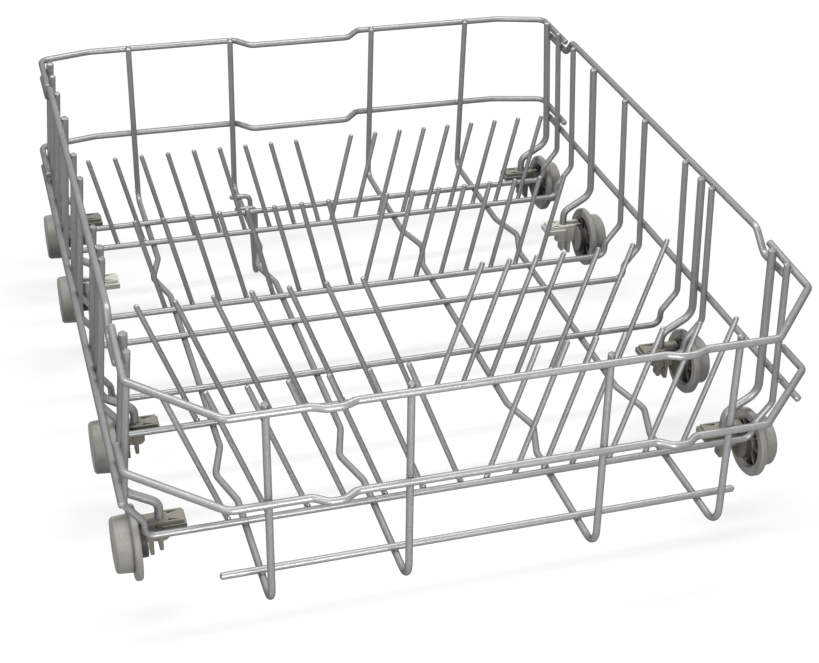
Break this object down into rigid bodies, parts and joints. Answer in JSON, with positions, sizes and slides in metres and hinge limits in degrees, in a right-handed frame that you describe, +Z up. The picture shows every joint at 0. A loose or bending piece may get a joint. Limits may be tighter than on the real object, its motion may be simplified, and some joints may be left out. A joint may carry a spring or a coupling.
{
  "type": "dishwasher basket",
  "caption": "Welded wire lower basket of a dishwasher with leaning tines for plates, two rims all round and clip-on flanged rollers along both sides.",
  "frame": {"origin": "under the middle of the basket, on the plane that the roller flanges stand on", "axes": "+X to the right seen from the front, +Y from the front to the rear, +Z up"},
  "size_m": [0.4942, 0.5891, 0.223],
  "materials": {
    "coated_wire": "silver-grey polyamide coat, satin",
    "coated_tine": "silver-grey polyamide coat, satin",
    "carrier_plastic": "warm grey moulded plastic",
    "roller_plastic": "warm grey moulded plastic, slightly worn"
  },
  "bodies": {
    "basket": {"cross_wire_front": "coated_wire", "cross_wire_front_second": "coated_wire", "cross_wire_middle_front": "coated_wire", "cross_wire_middle": "coated_wire", "cross_wire_middle_rear": "coated_wire", "cross_wire_rear_second": "coated_wire", "cross_wire_rear": "coated_wire", "front_bar": "coated_wire", "long_wire_left_outer": "coated_wire", "long_wire_left_inner": "coated_wire", "long_wire_right_inner": "coated_wire", "long_wire_right_outer": "coated_wire", "rim_rear_top": "coated_wire", "rim_rear_mid": "coated_wire", "rim_front_top": "coated_wire", "rim_front_mid": "coated_wire", "rim_left_top": "coated_wire", "rim_left_mid": "coated_wire", "rim_right_top": "coated_wire", "rim_right_mid": "coated_wire", "tine_row_rear": "coated_tine", "tine_row_middle_rear": "coated_tine", "tine_row_front_second": "coated_tine", "tine_row_front": "coated_tine", "hook_left_1": "coated_wire", "hook_left_2": "coated_wire", "hook_left_3": "coated_wire", "hook_left_4": "coated_wire", "hook_right_1": "coated_wire", "hook_right_2": "coated_wire", "hook_right_3": "coated_wire", "hook_right_4": "coated_wire", "hanging_loop": "coated_wire", "carrier_left_1": "carrier_plastic", "carrier_left_2": "carrier_plastic", "carrier_left_3": "carrier_plastic", "carrier_left_4": "carrier_plastic", "carrier_right_1": "carrier_plastic", "carrier_right_2": "carrier_plastic", "carrier_right_3": "carrier_plastic", "carrier_right_4": "carrier_plastic"},
    "roller_left_1": {"roller_left_1": "roller_plastic"},
    "roller_left_2": {"roller_left_2": "roller_plastic"},
    "roller_left_3": {"roller_left_3": "roller_plastic"},
    "roller_left_4": {"roller_left_4": "roller_plastic"},
    "roller_right_1": {"roller_right_1": "roller_plastic"},
    "roller_right_2": {"roller_right_2": "roller_plastic"},
    "roller_right_3": {"roller_right_3": "roller_plastic"},
    "roller_right_4": {"roller_right_4": "roller_plastic"}
  },
  "joints": [
    {"name": "roller_left_1_spin", "type": "hinge", "parent": "basket", "child": "roller_left_1", "pos_m": [-0.2385, -0.1985, 0.0265], "axis": [1, 0, 0], "continuous": true},
    {"name": "roller_left_2_spin", "type": "hinge", "parent": "basket", "child": "roller_left_2", "pos_m": [-0.2385, -0.085, 0.0265], "axis": [1, 0, 0], "continuous": true},
    {"name": "roller_left_3_spin", "type": "hinge", "parent": "basket", "child": "roller_left_3", "pos_m": [-0.2385, 0.1294, 0.0265], "axis": [1, 0, 0], "continuous": true},
    {"name": "roller_left_4_spin", "type": "hinge", "parent": "basket", "child": "roller_left_4", "pos_m": [-0.2385, 0.242, 0.0265], "axis": [1, 0, 0], "continuous": true},
    {"name": "roller_right_1_spin", "type": "hinge", "parent": "basket", "child": "roller_right_1", "pos_m": [0.2385, -0.1985, 0.0265], "axis": [1, 0, 0], "continuous": true},
    {"name": "roller_right_2_spin", "type": "hinge", "parent": "basket", "child": "roller_right_2", "pos_m": [0.2385, -0.085, 0.0265], "axis": [1, 0, 0], "continuous": true},
    {"name": "roller_right_3_spin", "type": "hinge", "parent": "basket", "child": "roller_right_3", "pos_m": [0.2385, 0.1294, 0.0265], "axis": [1, 0, 0], "continuous": true},
    {"name": "roller_right_4_spin", "type": "hinge", "parent": "basket", "child": "roller_right_4", "pos_m": [0.2385, 0.242, 0.0265], "axis": [1, 0, 0], "continuous": true}
  ]
}
